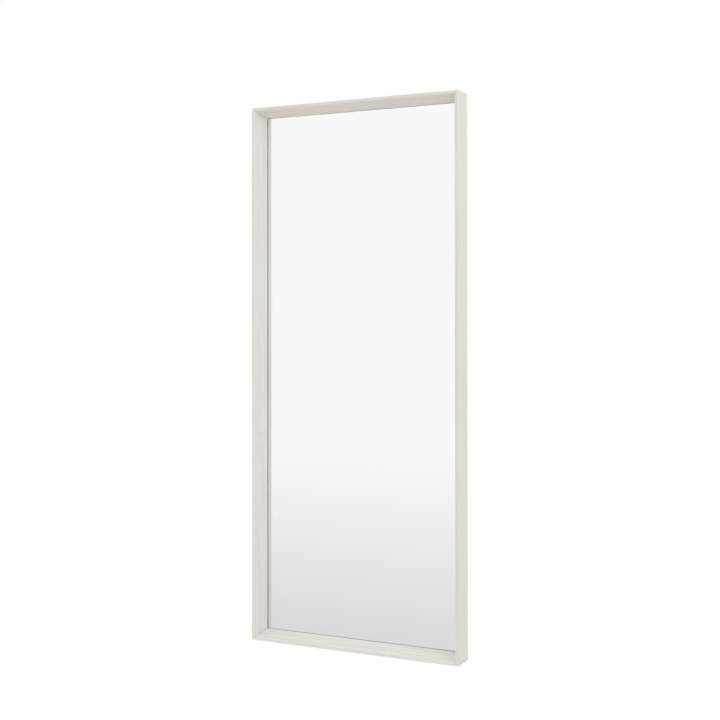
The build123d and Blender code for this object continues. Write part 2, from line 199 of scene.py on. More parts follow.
def make_pores():
    """Dashes along the vector's Z, in cells of a Width and Length in metres. Amount is the share with one."""
    tree, given, result = start_group(
        "open_pores",
        {"Vector": (0.0, 0.0, 0.0), "Width": millimetre, "Length": 10 * millimetre, "Amount": 0.5},
        ("Pore",),
    )
    across = calculate(tree, "DIVIDE", 1.0, given["Width"])
    along = calculate(tree, "DIVIDE", 1.0, given["Length"])
    size = add_node(tree, "ShaderNodeCombineXYZ", {"X": across, "Y": across, "Z": along}).outputs[0]
    cells = vector_math(tree, "MULTIPLY", given["Vector"], size).outputs[0]
    cell = add_node(tree, "ShaderNodeTexVoronoi", {"Vector": cells, "Scale": 1.0, "Randomness": 1.0})
    heart = ease(tree, cell.outputs["Distance"], dash_rim, dash_heart)
    chance = add_node(tree, "ShaderNodeSeparateXYZ", {"Vector": cell.outputs["Color"]}).outputs["X"]
    present = calculate(tree, "LESS_THAN", chance, given["Amount"])
    feed(tree, result, {"Pore": calculate(tree, "MULTIPLY", heart, present)})
    return tree


open_pores = make_pores()
print("made the group", open_pores.name)

# %% Make the fibres
def make_fibres():
    """Fine streaks along the vector's Z, from 0 to 1 round a half. Width and Length are in metres."""
    tree, given, result = start_group(
        "fibres",
        {"Vector": (0.0, 0.0, 0.0), "Width": millimetre, "Length": 50 * millimetre},
        ("Fibre",),
    )
    across = calculate(tree, "DIVIDE", 1.0, given["Width"])
    along = calculate(tree, "DIVIDE", 1.0, given["Length"])
    size = add_node(tree, "ShaderNodeCombineXYZ", {"X": across, "Y": across, "Z": along}).outputs[0]
    stretched = vector_math(tree, "MULTIPLY", given["Vector"], size).outputs[0]
    streak = add_node(tree, "ShaderNodeTexNoise", {"Vector": stretched, "Scale": 1.0, "Detail": 3.0})
    feed(tree, result, {"Fibre": streak.outputs["Fac"]})
    return tree


fibres = make_fibres()
print("made the group", fibres.name)

# %% [markdown]
# ### Edge wear
#
# Hands and cloths rub a finish thin at its edges first. The Bevel node gives the normal that a rounded edge
# would have. Where it differs from the true normal there is an edge nearby, and noise breaks the mask up,
# because wear is never an even line. A painted mask would need the edges to be found by hand.

# %% Make the edge wear
flat_agreement = 0.995
edge_agreement = 0.9
wear_patch_scale = 90.0


def make_edge_wear():
    """1 at edges and 0 on flat faces. Radius is in metres, Breakup from 0, even, to 1, ragged."""
    tree, given, result = start_group(
        "edge_wear",
        {"Vector": (0.0, 0.0, 0.0), "Radius": millimetre, "Breakup": 0.5},
        ("Edge",),
    )
    rounded = add_node(tree, "ShaderNodeBevel", {"Radius": given["Radius"]}, samples=6).outputs["Normal"]
    plain = add_node(tree, "ShaderNodeNewGeometry").outputs["Normal"]
    agreement = vector_math(tree, "DOT_PRODUCT", rounded, plain).outputs["Value"]
    edge = ease(tree, agreement, flat_agreement, edge_agreement)
    patches = add_node(tree, "ShaderNodeTexNoise", {
        "Vector": given["Vector"],
        "Scale": wear_patch_scale,
        "Detail": 4.0,
    })
    ragged = ease(tree, patches.outputs["Fac"], 0.4, 0.62)
    kept = calculate(tree, "SUBTRACT", 1.0, calculate(tree, "MULTIPLY", ragged, given["Breakup"]))
    feed(tree, result, {"Edge": calculate(tree, "MULTIPLY", edge, kept)})
    return tree


edge_wear = make_edge_wear()
print("made the group", edge_wear.name)

# %% [markdown]
# ### Clouds and dust
#
# No real surface is one colour all over. Clouds are slow, soft changes of tone, for paint, plate and panel.
# Dust is different: it settles on what faces up, so its mask comes from the upward part of the normal.

# %% Make the clouds
def make_clouds():
    """Soft changes of tone from -1 to 1. Size is that of a cloud, in metres."""
    tree, given, result = start_group(
        "clouds",
        {"Vector": (0.0, 0.0, 0.0), "Size": 20 * millimetre},
        ("Cloud",),
    )
    scale = calculate(tree, "DIVIDE", 1.0, given["Size"])
    noise = add_node(tree, "ShaderNodeTexNoise", {"Vector": given["Vector"], "Scale": scale, "Detail": 4.0})
    cloud = ease(tree, noise.outputs["Fac"], 0.3, 0.7, -1.0, 1.0)
    feed(tree, result, {"Cloud": cloud})
    return tree


clouds = make_clouds()
print("made the group", clouds.name)

# %% Make the dust
speck_scale = 700.0


def make_dust():
    """Dust on faces that look up, from 0 to the given Amount, in small uneven specks."""
    tree, given, result = start_group(
        "settled_dust",
        {"Vector": (0.0, 0.0, 0.0), "Amount": 0.3},
        ("Dust",),
    )
    normal = add_node(tree, "ShaderNodeNewGeometry").outputs["Normal"]
    upward = add_node(tree, "ShaderNodeSeparateXYZ", {"Vector": normal}).outputs["Z"]
    faces_up = ease(tree, upward, 0.3, 0.95)
    specks = add_node(tree, "ShaderNodeTexNoise", {
        "Vector": given["Vector"],
        "Scale": speck_scale,
        "Detail": 3.0,
    })
    grainy = ease(tree, specks.outputs["Fac"], 0.35, 0.65)
    dust = calculate(tree, "MULTIPLY", calculate(tree, "MULTIPLY", faces_up, grainy), given["Amount"])
    feed(tree, result, {"Dust": dust})
    return tree


settled_dust = make_dust()
print("made the group", settled_dust.name)

# %% [markdown]
# ### The mitre line
#
# Where a stile meets a rail, the glued mitre shows as a fine warm line, because the wash doesn't quite close
# it. The finishes of all four oak pieces need it in the same place. A point lies on a mitre when it is as far
# from the frame's side as from its top or bottom, so the line is worked out from the frame's own measures.

# %% Make the mitre line
def make_mitre_line():
    """1 on the four mitres of the frame, fading out over the given Width in metres."""
    tree, given, result = start_group(
        "mitre_line",
        {"Vector": (0.0, 0.0, 0.0), "Width": millimetre},
        ("Mitre",),
    )
    point = add_node(tree, "ShaderNodeSeparateXYZ", {"Vector": given["Vector"]}).outputs
    sideways = calculate(tree, "ABSOLUTE", point["X"])
    height = calculate(tree, "ABSOLUTE", calculate(tree, "SUBTRACT", point["Z"], frame_middle_height))
    from_side = calculate(tree, "SUBTRACT", frame_half_width, sideways)
    from_end = calculate(tree, "SUBTRACT", frame_half_height, height)
    apart = calculate(tree, "ABSOLUTE", calculate(tree, "SUBTRACT", from_side, from_end))
    share = calculate(tree, "DIVIDE", apart, given["Width"])
    feed(tree, result, {"Mitre": ease(tree, share, 1.0, 0.4)})
    return tree


mitre_line = make_mitre_line()
print("made the group", mitre_line.name)

# %% [markdown]
# ## Starting a finish
#
# Each finish is one material with a Principled shader. Its pattern follows the object's own coordinates,
# so it moves with the piece, as grain does, when a hanger ring swings.

# %% Start a material
def start_material(name):
    """A new material: itself, its tree, its shader and the coordinates that its pattern follows."""
    material = bpy.data.materials.new(name)
    material.use_nodes = True
    tree = material.node_tree
    tree.nodes.clear()
    shader = add_node(tree, "ShaderNodeBsdfPrincipled")
    add_node(tree, "ShaderNodeOutputMaterial", {"Surface": shader.outputs["BSDF"]})
    return material, tree, shader, add_node(tree, "ShaderNodeTexCoord").outputs["Object"]


def bumped(tree, height, distance, strength=1.0):
    """The normal of a surface that rises by a distance in metres where the height is 1."""
    inputs = {"Height": height, "Distance": distance, "Strength": strength}
    return add_node(tree, "ShaderNodeBump", inputs).outputs["Normal"]

# %% [markdown]
# ## Whitewashed oak
#
# The frame is oak under a thin white wash, wiped off along the grain. The wash hides most of the wood's
# colour but not its figure: it lies thick in the pale early wood, thin on the hard late wood and on the
# edges, and it leaves the pores as fine darker dashes. So the finish is built as the painter would: the
# colour of the bare oak first, then a coat of wash whose cover changes over the surface.
# The grain runs along each piece. The rings run along Z, so the rails turn the coordinates by a quarter.
# The four pieces come from different boards. Each has its own pith, so the grain breaks at every mitre.
# Each also has its own wash colour, tinted as painted light and shade: the bottom rail is painted paler where
# its inner face looks up into the light, the top rail warmer where its inner face looks down into shade, and
# the right stile a little darker.

# %% Colours of the oak and its wash
bare_oak = (0.50, 0.395, 0.27, 1)
pore_shade = (0.43, 0.375, 0.30, 1)
mitre_shade = (0.30, 0.235, 0.165, 1)
wash_cover = 0.88
streak_change = 0.08
late_wood_loss = 0.10
edge_loss = 0.30
ring_change = 0.05
pore_share = 0.42
mitre_share = 0.62
print("the wash covers", wash_cover, "of the oak, and", round(wash_cover - edge_loss, 2), "at worn edges")

# %% Give each piece of the frame its own board
quarter_turn = math.radians(90)
grain_upright = (0.0, 0.0, 0.0)
grain_level = (0.0, -quarter_turn, 0.0)
# The last colour of each board is its wash, tinted as painted light and shade: paler on the bottom rail,
# warmer on the top rail and a little darker on the right stile.
oak_boards_and_painted_light = {
    "left_stile": (grain_upright, (0.16, 0.42, 0.0), (0.797, 0.809, 0.782, 1)),
    "right_stile": (grain_upright, (0.47, 0.30, 0.0), (0.764, 0.763, 0.732, 1)),
    "top_rail": (grain_level, (-1.55, 0.38, 0.0), (0.776, 0.757, 0.700, 1)),
    "bottom_rail": (grain_level, (-0.24, 0.45, 0.0), (0.868, 0.876, 0.850, 1)),
}
print(len(oak_boards_and_painted_light), "boards of oak")

# %% Make whitewashed oak
pore_depth = 0.8
late_wood_rise = 0.35
fibre_rise = 0.3
oak_relief = 0.12 * millimetre


def make_whitewashed_oak(name, turn, pith, wash_with_painted_light):
    """Whitewashed oak whose grain runs along Z after the coordinates take the given turn."""
    material, tree, shader, place = start_material(name)
    grain = add_node(tree, "ShaderNodeMapping", {"Vector": place, "Rotation": turn}).outputs["Vector"]
    rings = use_group(tree, growth_rings, {
        "Vector": grain,
        "Pith": pith,
        "Ring Width": 2.3 * millimetre,
        "Drift": 26 * millimetre,
    })
    fibre = use_group(tree, fibres, {
        "Vector": grain,
        "Width": 0.5 * millimetre,
        "Length": 25 * millimetre,
    })["Fibre"]
    streak = use_group(tree, fibres, {
        "Vector": grain,
        "Width": 6 * millimetre,
        "Length": 260 * millimetre,
    })["Fibre"]
    pore = use_group(tree, open_pores, {
        "Vector": grain,
        "Width": 0.75 * millimetre,
        "Length": 9 * millimetre,
        "Amount": 0.55,
    })["Pore"]
    edge = use_group(tree, edge_wear, {
        "Vector": place,
        "Radius": 1.2 * millimetre,
        "Breakup": 0.7,
    })["Edge"]
    mitre = use_group(tree, mitre_line, {"Vector": place, "Width": 0.7 * millimetre})["Mitre"]

    early = calculate(tree, "SUBTRACT", 1.0, rings["Late Wood"])
    pore = calculate(tree, "MULTIPLY", pore, ease(tree, early, 0.0, 0.7, 0.25, 1.0))
    cover = ease(tree, streak, 0.3, 0.7, wash_cover - streak_change, wash_cover + streak_change)
    thinned = calculate(tree, "MULTIPLY", rings["Late Wood"], late_wood_loss)
    cover = calculate(tree, "SUBTRACT", cover, thinned)
    cover = calculate(tree, "SUBTRACT", cover, calculate(tree, "MULTIPLY", edge, edge_loss))
    tone = calculate(tree, "SUBTRACT", rings["Ring Tone"], 0.5)
    cover = calculate(tree, "ADD", cover, calculate(tree, "MULTIPLY", tone, ring_change), clamp=True)
    # The wash colour carries each board's painted light and shade.
    color = mix_colors(tree, cover, bare_oak, wash_with_painted_light)
    fine = ease(tree, fibre, 0.25, 0.75, 0.93, 1.05)
    color = mix_colors(tree, 1.0, color, fine, "MULTIPLY")
    color = mix_colors(tree, calculate(tree, "MULTIPLY", pore, pore_share), color, pore_shade)
    color = mix_colors(tree, calculate(tree, "MULTIPLY", mitre, mitre_share), color, mitre_shade)

    rough = ease(tree, fibre, 0.2, 0.8, 0.5, 0.66)
    rough = calculate(tree, "SUBTRACT", rough, calculate(tree, "MULTIPLY", edge, 0.08))
    sunk = calculate(tree, "ADD", calculate(tree, "MULTIPLY", pore, pore_depth), mitre)
    raised = calculate(tree, "MULTIPLY", rings["Late Wood"], late_wood_rise)
    relief = calculate(tree, "SUBTRACT", raised, sunk)
    relief = calculate(tree, "ADD", relief, calculate(tree, "MULTIPLY", fibre, fibre_rise))
    feed(tree, shader, {
        "Base Color": color,
        "Roughness": rough,
        "Normal": bumped(tree, relief, oak_relief),
    })
    return material


whitewashed_oak = {}
for board, (turn, pith, wash_with_painted_light) in oak_boards_and_painted_light.items():
    whitewashed_oak[board] = make_whitewashed_oak("whitewashed_oak_" + board, turn, pith, wash_with_painted_light)
print("made", ", ".join(finish.name for finish in whitewashed_oak.values()))

# %% [markdown]
# ## The silvered pane
#
# The pane is 5 mm float glass with silver on its back. A flat reflecting sheet would be simpler, but it
# would lose what tells the eye that this is glass: the reflection lies deep in the pane, so a dark line
# stands between the frame and its own image. The glass is plain and clear, with the faintest smears where it
# was wiped.

# %% Make the clear glass
glass_ior = 1.5
smear_roughness = 0.004


def make_clear_glass():
    """Clear float glass. Only its gloss changes, where it was wiped."""
    material, tree, shader, place = start_material("clear_glass")
    smear = use_group(tree, fibres, {
        "Vector": place,
        "Width": 60 * millimetre,
        "Length": 200 * millimetre,
    })["Fibre"]
    feed(tree, shader, {
        "Base Color": (1.0, 1.0, 1.0, 1),
        "Roughness": ease(tree, smear, 0.55, 0.8, 0.0, smear_roughness),
        "IOR": glass_ior,
        "Transmission Weight": 1.0,
    })
    return material


clear_glass = make_clear_glass()
print("made", clear_glass.name)

# %% [markdown]
# The pane touches the oak behind the sight edge. Where two faces lie on each other, a ray can't tell whether
# it is still in the glass, and the line beside the frame goes black. A hair of air between them, which a real
# pane always has, lets light in and turns the line grey. A Displace modifier draws the glass in by that much.

# %% Leave a hair of air round the pane
hair_of_air = 0.02 * millimetre
air = frame["nodes"]["mirror_glass"].modifiers.new("hair_of_air", "DISPLACE")
air.direction = "NORMAL"
air.mid_level = 0.0
air.strength = -hair_of_air
print("glass drawn in by", hair_of_air, "metres")

# %% [markdown]
# The silver behind the glass is a metal. Near its rim, hidden in the rebate, it is painted darker: painted
# shade that widens the dark line between the frame and its image in the pane. The distance from the rim is
# worked out from the coating's own measures, and clouds make the edge of the dark part ragged.

# %% Make the silver
bright_silver = (0.945, 0.945, 0.945, 1)
# The rim's darker colour is painted shade beside the frame's sight edge.
painted_shade_silver = (0.12, 0.10, 0.08, 1)
darkened_roughness = 0.4
rim_outer = 0.6 * millimetre
rim_inner = 2.2 * millimetre
rim_raggedness = 0.7 * millimetre


def make_silver():
    """Silver on the back of the pane, painted darker in a narrow ragged rim as painted shade."""
    material, tree, shader, place = start_material("silver")
    low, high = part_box("silver_coating")
    point = add_node(tree, "ShaderNodeSeparateXYZ", {"Vector": place}).outputs
    middle = (low.z + high.z) / 2
    from_side = calculate(tree, "SUBTRACT", high.x, calculate(tree, "ABSOLUTE", point["X"]))
    height = calculate(tree, "ABSOLUTE", calculate(tree, "SUBTRACT", point["Z"], middle))
    from_end = calculate(tree, "SUBTRACT", high.z - middle, height)
    from_rim = calculate(tree, "MINIMUM", from_side, from_end)
    cloud = use_group(tree, clouds, {"Vector": place, "Size": 4 * millimetre})["Cloud"]
    ragged = calculate(tree, "ADD", from_rim, calculate(tree, "MULTIPLY", cloud, rim_raggedness))
    rim = ease(tree, ragged, rim_inner, rim_outer)
    feed(tree, shader, {
        "Base Color": mix_colors(tree, rim, bright_silver, painted_shade_silver),
        "Metallic": 1.0,
        "Roughness": calculate(tree, "MULTIPLY", rim, darkened_roughness),
    })
    return material


silver = make_silver()
print("made", silver.name)

# %% [markdown]
# ## What backs the pane
#
# Behind the silver come a grey safety film, which holds the pieces if the pane breaks, and a sheet of white
# foam that presses the pane to the frame. The film is backed by a fine weave and the foam is closed cells,
# and both show only when the mirror is taken apart.

# %% Make the safety film
dark_film = (0.33, 0.35, 0.37, 1)
light_film = (0.45, 0.47, 0.49, 1)
thread_pitch = 1.2 * millimetre


def make_safety_film():
    """Grey film with a fine square weave."""
    material, tree, shader, place = start_material("safety_film")
    point = add_node(tree, "ShaderNodeSeparateXYZ", {"Vector": place}).outputs
    turns = 2 * math.pi / thread_pitch
    across = calculate(tree, "SINE", calculate(tree, "MULTIPLY", point["X"], turns))
    along = calculate(tree, "SINE", calculate(tree, "MULTIPLY", point["Z"], turns))
    weave = calculate(tree, "MULTIPLY", across, along)
    cloud = use_group(tree, clouds, {"Vector": place, "Size": 30 * millimetre})["Cloud"]
    light = ease(tree, calculate(tree, "ADD", weave, calculate(tree, "MULTIPLY", cloud, 0.4)), -1.0, 1.0)
    feed(tree, shader, {
        "Base Color": mix_colors(tree, light, dark_film, light_film),
        "Roughness": ease(tree, weave, -1.0, 1.0, 0.35, 0.55),
        "Normal": bumped(tree, weave, 0.05 * millimetre),
    })
    return material


safety_film = make_safety_film()
print("made", safety_film.name)

# %% Make the white foam
foam_cell = (0.88, 0.88, 0.87, 1)
foam_wall = (0.74, 0.74, 0.73, 1)
foam_cells_per_metre = 900.0


def make_white_foam():
    """Closed-cell foam: small rounded cells with a slightly darker wall between them."""
    material, tree, shader, place = start_material("white_foam")
    cell = add_node(tree, "ShaderNodeTexVoronoi", {"Vector": place, "Scale": foam_cells_per_metre})
    wall = ease(tree, cell.outputs["Distance"], 0.35, 0.75)
    feed(tree, shader, {
        "Base Color": mix_colors(tree, wall, foam_cell, foam_wall),
        "Roughness": ease(tree, wall, 0.0, 1.0, 0.7, 0.9),
        "Normal": bumped(tree, calculate(tree, "SUBTRACT", 1.0, wall), 0.3 * millimetre),
    })
    return material


white_foam = make_white_foam()
print("made", white_foam.name)

# %% [markdown]
# ## The back panel
#
# The back is closed with 6 mm fibreboard: wood fibres pressed flat, so it has no grain direction. Its face is
# a mid brown with short pale and dark fibres, and it is a little polished from the press. Two layers of cells
# stretched different ways, and swirled by noise, stand for the fibres, over slow clouds of tone.

# %% Colours of the fibreboard and its fibres
dark_board = (0.332, 0.219, 0.127, 1)
light_board = (0.357, 0.237, 0.139, 1)
pale_fibre = (0.56, 0.42, 0.28, 1)
dark_fibre = (0.14, 0.085, 0.045, 1)
fibre_layers = [(math.radians(35), pale_fibre, 0.45), (math.radians(-50), dark_fibre, 0.5)]
swirl_scale = 120.0
swirl_reach = 12 * millimetre
print(len(fibre_layers), "layers of fibres")

# %% Make the brown fibreboard
def make_brown_fibreboard():
    """Pressed fibreboard with pale and dark fibres."""
    material, tree, shader, place = start_material("brown_fibreboard")
    cloud = use_group(tree, clouds, {"Vector": place, "Size": 60 * millimetre})["Cloud"]
    speck = use_group(tree, clouds, {"Vector": place, "Size": 1.5 * millimetre})["Cloud"]
    color = mix_colors(tree, ease(tree, cloud, -1.0, 1.0), dark_board, light_board)
    color = mix_colors(tree, 1.0, color, ease(tree, speck, -1.0, 1.0, 0.84, 1.14), "MULTIPLY")
    height = speck
    for turn, shade, share in fibre_layers:
        turned = add_node(tree, "ShaderNodeMapping", {
            "Vector": place,
            "Rotation": (0.0, turn, 0.0),
        }).outputs["Vector"]
        bent = add_node(tree, "ShaderNodeTexNoise", {"Vector": place, "Scale": swirl_scale})
        swirl = vector_math(tree, "MULTIPLY", bent.outputs["Color"], (swirl_reach,) * 3).outputs[0]
        fibre = use_group(tree, open_pores, {
            "Vector": vector_math(tree, "ADD", turned, swirl).outputs[0],
            "Width": 1.5 * millimetre,
            "Length": 8 * millimetre,
            "Amount": 0.45,
        })["Pore"]
        color = mix_colors(tree, calculate(tree, "MULTIPLY", fibre, share), color, shade)
        height = calculate(tree, "ADD", height, fibre)
    feed(tree, shader, {
        "Base Color": color,
        "Roughness": ease(tree, speck, -1.0, 1.0, 0.5, 0.68),
        "Normal": bumped(tree, height, 0.03 * millimetre),
    })
    return material


brown_fibreboard = make_brown_fibreboard()
print("made", brown_fibreboard.name)

# %% [markdown]
# ## The pine battens
#
# Two planed pine battens stiffen the panel and carry the hangers. Pine has wide rings with orange late wood,
# and knots where branches grew. A knot is more than a dark spot: the rings flow round it. So each knot gives
# two things, its own dark heart, and a bend that pushes the rings of the board aside.

# %% Make the knots
def make_knot():
    """A round knot that runs through a board along Y: its Heart, and the Bend of the rings round it."""
    tree, given, result = start_group(
        "knot",
        {"Vector": (0.0, 0.0, 0.0), "Centre": (0.0, 0.0, 0.0), "Radius": 8 * millimetre},
        ("Heart", "Bend"),
    )
    away = vector_math(tree, "SUBTRACT", given["Vector"], given["Centre"]).outputs[0]
    away = vector_math(tree, "MULTIPLY", away, (0.7, 0.0, 1.0)).outputs[0]
    length = add_node(tree, "ShaderNodeVectorMath", {0: away}, operation="LENGTH").outputs["Value"]
    share = calculate(tree, "DIVIDE", length, given["Radius"])
    heart = ease(tree, share, 1.05, 0.8)
    bend = calculate(tree, "MULTIPLY", ease(tree, share, 3.6, 0.6), given["Radius"])
    feed(tree, result, {"Heart": heart, "Bend": bend})
    return tree


knot = make_knot()
print("made the group", knot.name)

# %% Place the knots on the battens
lower_low, lower_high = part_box("lower_batten")
upper_low, upper_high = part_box("upper_batten")
lower_middle = (lower_low.z + lower_high.z) / 2
upper_middle = (upper_low.z + upper_high.z) / 2
knot_places = [
    ((-0.205, 0.0, lower_middle + 9 * millimetre), 7.5 * millimetre),
    ((0.118, 0.0, lower_middle - 13 * millimetre), 4.5 * millimetre),
    ((0.055, 0.0, upper_middle + 12 * millimetre), 6.5 * millimetre),
    ((-0.150, 0.0, upper_middle - 16 * millimetre), 3.5 * millimetre),
]
print(len(knot_places), "knots")

# %% Make the planed pine
early_pine = (0.70, 0.50, 0.275, 1)
late_pine = (0.47, 0.255, 0.095, 1)
knot_heart = (0.19, 0.085, 0.032, 1)
worn_pine = (0.78, 0.60, 0.38, 1)
pine_pith = (-lower_middle - 50 * millimetre, 70 * millimetre, 0.0)


def make_planed_pine():
    """Planed pine with its grain along X, and knots at the places above."""
    material, tree, shader, place = start_material("planed_pine")
    hearts = 0.0
    bends = 0.0
    for centre, radius in knot_places:
        one = use_group(tree, knot, {"Vector": place, "Centre": centre, "Radius": radius})
        hearts = calculate(tree, "MAXIMUM", hearts, one["Heart"])
        bends = calculate(tree, "ADD", bends, one["Bend"])
    turned = {"Vector": place, "Rotation": grain_level}
    grain = add_node(tree, "ShaderNodeMapping", turned).outputs["Vector"]
    rings = use_group(tree, growth_rings, {
        "Vector": grain,
        "Pith": pine_pith,
        "Ring Width": 4.2 * millimetre,
        "Drift": 22 * millimetre,
        "Bend": bends,
    })
    fibre = use_group(tree, fibres, {
        "Vector": grain,
        "Width": 0.6 * millimetre,
        "Length": 40 * millimetre,
    })["Fibre"]
    depth = ease(tree, rings["Ring Tone"], 0.0, 1.0, 0.45, 0.8)
    late = calculate(tree, "MULTIPLY", rings["Late Wood"], depth)
    color = mix_colors(tree, late, early_pine, late_pine)
    color = mix_colors(tree, 1.0, color, ease(tree, fibre, 0.2, 0.8, 0.88, 1.08), "MULTIPLY")
    color = mix_colors(tree, hearts, color, knot_heart)
    edge = use_group(tree, edge_wear, {"Vector": place, "Radius": millimetre, "Breakup": 0.4})["Edge"]
    color = mix_colors(tree, calculate(tree, "MULTIPLY", edge, 0.25), color, worn_pine)
    relief = calculate(tree, "ADD", calculate(tree, "MULTIPLY", late, 0.6), fibre)
    feed(tree, shader, {
        "Base Color": color,
        "Roughness": ease(tree, fibre, 0.2, 0.8, 0.5, 0.7),
        "Normal": bumped(tree, relief, 0.08 * millimetre),
    })
    return material


planed_pine = make_planed_pine()
print("made", planed_pine.name)

# %% [markdown]
# ## Pressed beech
#
# The biscuits in the mitres are stamped from beech: pinkish wood with fine rings and the short dark flecks
# of its rays. They are glued in and hidden, and are finished like the rest for when the frame is shown apart.

# %% Make the pressed beech
early_beech = (0.56, 0.365, 0.225, 1)
late_beech = (0.42, 0.25, 0.145, 1)
beech_fleck = (0.30, 0.16, 0.085, 1)
beech_pith = (0.2, 0.3, 0.0)


def make_pressed_beech():
    """Beech with fine rings and short dark flecks."""
    material, tree, shader, place = start_material("pressed_beech")
    rings = use_group(tree, growth_rings, {
        "Vector": place,
        "Pith": beech_pith,
        "Ring Width": 1.6 * millimetre,
        "Drift": 6 * millimetre,
    })
    fleck = use_group(tree, open_pores, {
        "Vector": place,
        "Width": 0.7 * millimetre,
        "Length": 2.5 * millimetre,
        "Amount": 0.5,
    })["Pore"]
    tone = calculate(tree, "MULTIPLY", rings["Late Wood"], 0.5)
    color = mix_colors(tree, tone, early_beech, late_beech)
    color = mix_colors(tree, calculate(tree, "MULTIPLY", fleck, 0.5), color, beech_fleck)
    feed(tree, shader, {
        "Base Color": color,
        "Roughness": ease(tree, fleck, 0.0, 1.0, 0.6, 0.75),
        "Normal": bumped(tree, fleck, 0.05 * millimetre, 0.6),
    })
    return material


pressed_beech = make_pressed_beech()
print("made", pressed_beech.name)

# %% [markdown]
# ## Plated steel
#
# The braces and screws are zinc-plated and the hangers nickel-plated. Both are metals, so what they show is
# mostly what they reflect, and the finish lies in how evenly they do it: cloudy and bluish for zinc, smoother
# and warmer for nickel. Rolled strip also carries fine lines along its length, and plate wears at the edges.

# %% Make plated steel
def make_plated_steel(name, color, worn_color, roughness, cloud_share):
    """Plated steel: its colour and gloss change with soft clouds, fine lines and worn edges."""
    material, tree, shader, place = start_material(name)
    cloud = use_group(tree, clouds, {"Vector": place, "Size": 3 * millimetre})["Cloud"]
    line = use_group(tree, fibres, {
        "Vector": place,
        "Width": 0.12 * millimetre,
        "Length": 6 * millimetre,
    })["Fibre"]
    edge = use_group(tree, edge_wear, {
        "Vector": place,
        "Radius": 0.4 * millimetre,
        "Breakup": 0.5,
    })["Edge"]
    light = ease(tree, cloud, -1.0, 1.0, 1.0 - cloud_share, 1.0 + cloud_share)
    plate = mix_colors(tree, 1.0, color, light, "MULTIPLY")
    plate = mix_colors(tree, calculate(tree, "MULTIPLY", edge, 0.5), plate, worn_color)
    gloss = calculate(tree, "ADD", roughness, calculate(tree, "MULTIPLY", cloud, 0.06))
    gloss = calculate(tree, "ADD", gloss, ease(tree, line, 0.3, 0.7, -0.04, 0.06))
    feed(tree, shader, {
        "Base Color": plate,
        "Metallic": 1.0,
        "Roughness": gloss,
        "Normal": bumped(tree, line, 0.01 * millimetre, 0.5),
    })
    return material


# %% Plate the steel with zinc and with nickel
zinc_steel = make_plated_steel(
    "zinc_steel",
    color=(0.55, 0.57, 0.59, 1),
    worn_color=(0.70, 0.71, 0.72, 1),
    roughness=0.36,
    cloud_share=0.12,
)
nickel_steel = make_plated_steel(
    "nickel_steel",
    color=(0.62, 0.59, 0.54, 1),
    worn_color=(0.74, 0.71, 0.66, 1),
    roughness=0.24,
    cloud_share=0.05,
)
print("made", zinc_steel.name, "and", nickel_steel.name)

# %% [markdown]
# ## Black rubber
#
# Bumpers, floor pads and the blocks round the pane are moulded rubber: nearly black, dull, slightly rough
# to the touch, with grey bloom where it was handled and dust on what faces up.

# %% Make the black rubber
fresh_rubber = (0.020, 0.020, 0.021, 1)
bloomed_rubber = (0.045, 0.045, 0.046, 1)
grey_dust = (0.36, 0.34, 0.31, 1)


def make_black_rubber():
    """Dull moulded rubber with bloom and a little dust."""
    material, tree, shader, place = start_material("black_rubber")
    bloom = use_group(tree, clouds, {"Vector": place, "Size": 5 * millimetre})["Cloud"]
    grain = use_group(tree, clouds, {"Vector": place, "Size": 0.5 * millimetre})["Cloud"]
    dust = use_group(tree, settled_dust, {"Vector": place, "Amount": 0.35})["Dust"]
    color = mix_colors(tree, ease(tree, bloom, -0.4, 1.0), fresh_rubber, bloomed_rubber)
    color = mix_colors(tree, dust, color, grey_dust)
    feed(tree, shader, {
        "Base Color": color,
        "Roughness": ease(tree, bloom, -1.0, 1.0, 0.62, 0.82),
        "Normal": bumped(tree, grain, 0.05 * millimetre),
    })
    return material


black_rubber = make_black_rubber()
print("made", black_rubber.name)

# %% [markdown]
# ## Dressing the pieces
#
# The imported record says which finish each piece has, by the name of its slot. All slots have one material,
# except the oak, where each piece of the frame takes that of its own board.

# %% Give each piece its finish
finishes = {
    "clear_glass": clear_glass,
    "silver": silver,
    "safety_film": safety_film,
    "white_foam": white_foam,
    "brown_fibreboard": brown_fibreboard,
    "planed_pine": planed_pine,
    "pressed_beech": pressed_beech,
    "zinc_steel": zinc_steel,
    "nickel_steel": nickel_steel,
    "black_rubber": black_rubber,
}
for entry in frame["record"]["subparts"]:
    piece = frame["nodes"][entry["node"]]
    if entry["material_slot"] == "whitewashed_oak":
        finish = whitewashed_oak[entry["node"]]
    else:
        finish = finishes[entry["material_slot"]]
    for slot in piece.material_slots:
        slot.material = finish

# %% [markdown]
# ## Floor and studio
#
# The mirror stands on a plain white floor in a white studio. What the camera, the mirror and the metal see
# is white, at a strength of 1. What lights the pieces is a plain sky a little below that, even on all sides.
# The Light Path node tells the two apart: a ray that has already met a matt surface carries light, and any
# other ray only looks. The mirror also throws light on the frame's inner faces, and Cycles would blur that
# light unless its glossy filter is off.

# %% Tell which rays only look
def looking_rays(tree):
    """1 for rays straight from the camera, and 1 for those that metal, glass or the mirror has sent on."""
    path = add_node(tree, "ShaderNodeLightPath").outputs
    sent_on = calculate(tree, "MAXIMUM", path["Is Glossy Ray"], path["Is Transmission Ray"])
    unlit = calculate(tree, "LESS_THAN", path["Diffuse Depth"], 0.5)
    return path["Is Camera Ray"], calculate(tree, "MULTIPLY", sent_on, unlit)

